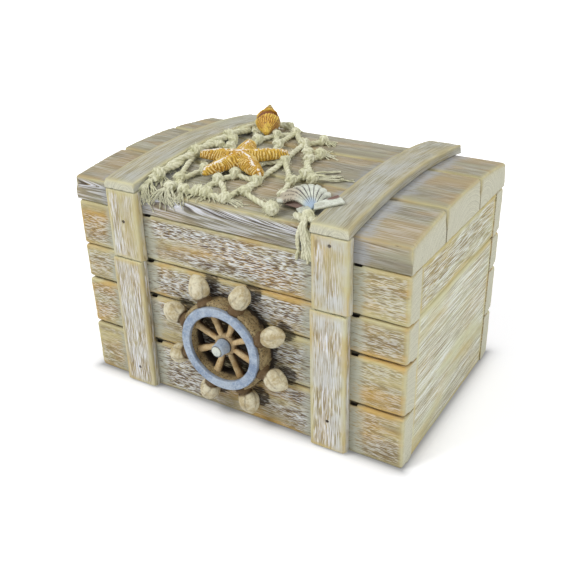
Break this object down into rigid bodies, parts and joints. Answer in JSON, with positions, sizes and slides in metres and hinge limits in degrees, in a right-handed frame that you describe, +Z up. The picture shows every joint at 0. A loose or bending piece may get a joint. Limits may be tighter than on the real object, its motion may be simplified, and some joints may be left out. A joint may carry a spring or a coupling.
{
  "type": "treasure chest box",
  "caption": "Whitewashed slatted wood keepsake chest with a hinged arched lid, a ship's wheel on its front and netting with shells on top.",
  "frame": {"origin": "middle of the base's underside", "axes": "+X along the front to the right, +Y from the front to the back, +Z up"},
  "size_m": [0.2, 0.1495, 0.1414],
  "materials": {
    "board_wood": "whitewashed, wire-brushed and sanded back at the edges",
    "plank_wood": "thin grey wash over sanded boards",
    "strap_wood": "whitewashed, edges sanded to bare wood",
    "floor_wood": "bare and matt",
    "hinge_brass": "aged brass",
    "brad_steel": "dull and rusted",
    "wheel_blue_paint": "chalky powder blue paint on cast resin",
    "wheel_tan_resin": "tan with a dark wash in the hollows",
    "wheel_button": "pale chalky paint",
    "wheel_handle_resin": "pale khaki, brushed lighter on top",
    "net_cotton": "undyed cotton cord",
    "starfish": "orange ochre with pale bumps",
    "whelk_shell": "orange brown shell",
    "scallop_shell": "grey white shell with dark lines between the ribs"
  },
  "bodies": {
    "base": {"base_back_board_bottom": "board_wood", "base_back_board_middle": "board_wood", "base_back_board_top": "board_wood", "base_end_panel_left": "board_wood", "base_end_panel_right": "board_wood", "base_floor_panel": "floor_wood", "base_front_board_bottom": "board_wood", "base_front_board_middle": "board_wood", "base_front_board_top": "board_wood", "base_strap_brads": "brad_steel", "base_strap_left": "strap_wood", "base_strap_right": "strap_wood", "hinge_base_screws": "hinge_brass", "hinge_left_base_leaf": "hinge_brass", "hinge_left_pin": "hinge_brass", "hinge_right_base_leaf": "hinge_brass", "hinge_right_pin": "hinge_brass", "wheel_button": "wheel_button", "wheel_face_ring": "wheel_blue_paint", "wheel_handles": "wheel_handle_resin", "wheel_hub": "wheel_blue_paint", "wheel_rim": "wheel_tan_resin", "wheel_spokes": "wheel_tan_resin"},
    "lid": {"hinge_left_lid_leaf": "hinge_brass", "hinge_lid_screws": "hinge_brass", "hinge_right_lid_leaf": "hinge_brass", "lid_back_board": "board_wood", "lid_end_board_left": "board_wood", "lid_end_board_right": "board_wood", "lid_front_board": "board_wood", "lid_front_strap_left": "strap_wood", "lid_front_strap_right": "strap_wood", "lid_strap_brads": "brad_steel", "lid_top_plank_front": "plank_wood", "lid_top_plank_middle": "plank_wood", "lid_top_plank_rear": "plank_wood", "lid_top_strap_left": "strap_wood", "lid_top_strap_right": "strap_wood", "net": "net_cotton", "net_tassel": "net_cotton", "scallop_shell": "scallop_shell", "starfish": "starfish", "whelk_shell": "whelk_shell"}
  },
  "joints": [
    {"name": "lid_hinge", "type": "hinge", "parent": "base", "child": "lid", "pos_m": [0, 0.0663, 0.08185], "axis": [-1, 0, 0], "range_deg": [0, 170]}
  ]
}
